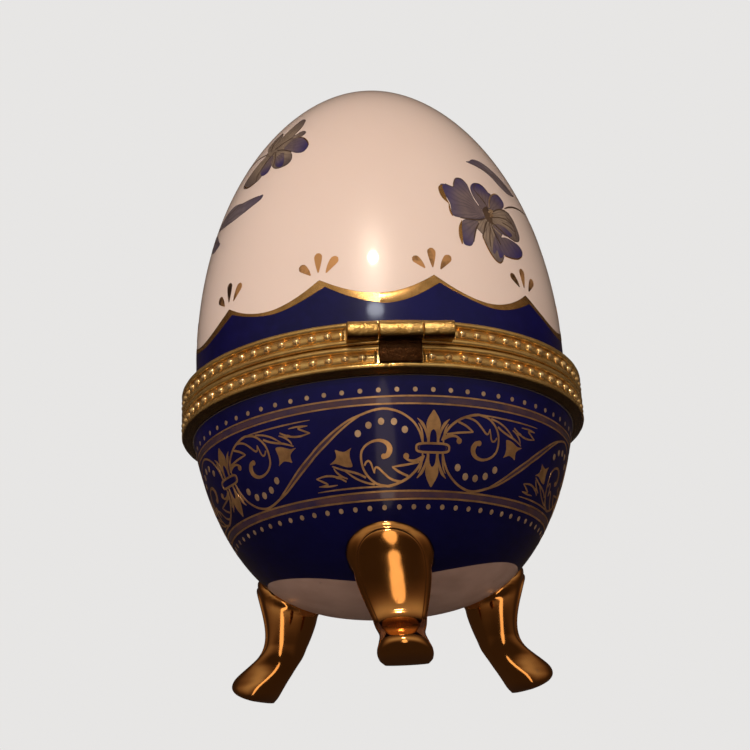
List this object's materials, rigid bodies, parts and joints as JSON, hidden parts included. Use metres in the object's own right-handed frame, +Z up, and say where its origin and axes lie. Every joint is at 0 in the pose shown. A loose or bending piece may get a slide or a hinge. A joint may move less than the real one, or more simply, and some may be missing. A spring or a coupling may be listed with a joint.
{
  "type": "porcelain trinket box",
  "caption": "Egg-shaped porcelain trinket box with a hinged lid, beaded brass collars, a snap clasp and three gilt legs.",
  "frame": {"origin": "on the table, under the egg's axis, midway between the hinge's back and the clasp's front", "axes": "+Z up along the egg's axis, +Y towards the hinge, -Y towards the clasp, +X to the right of someone facing the clasp"},
  "size_m": [0.0682, 0.0742, 0.107],
  "materials": {
    "cobalt_porcelain": "gloss",
    "white_porcelain": "gloss",
    "gold_lustre": "mirror gold lustre over glaze",
    "antique_brass": "satin, antiqued",
    "cement": "matte"
  },
  "bodies": {
    "base": {"base_bowl": "cobalt_porcelain", "foot_back": "gold_lustre", "foot_front_left": "gold_lustre", "foot_front_right": "gold_lustre", "base_cement": "cement", "base_collar": "antique_brass", "base_bead_strip": "antique_brass", "base_hinge_leaf": "antique_brass", "catch_stud": "antique_brass"},
    "lid": {"lid_dome": "white_porcelain", "lid_cement": "cement", "lid_collar": "antique_brass", "lid_bead_strip": "antique_brass", "lid_hinge_knuckle_left": "antique_brass", "lid_hinge_knuckle_right": "antique_brass", "hinge_pin": "antique_brass", "clasp_tongue": "antique_brass"}
  },
  "joints": [
    {"name": "lid_hinge", "type": "hinge", "parent": "base", "child": "lid", "pos_m": [0, 0.0357, 0.0465], "axis": [-1, 0, 0], "range_deg": [0, 100]}
  ]
}
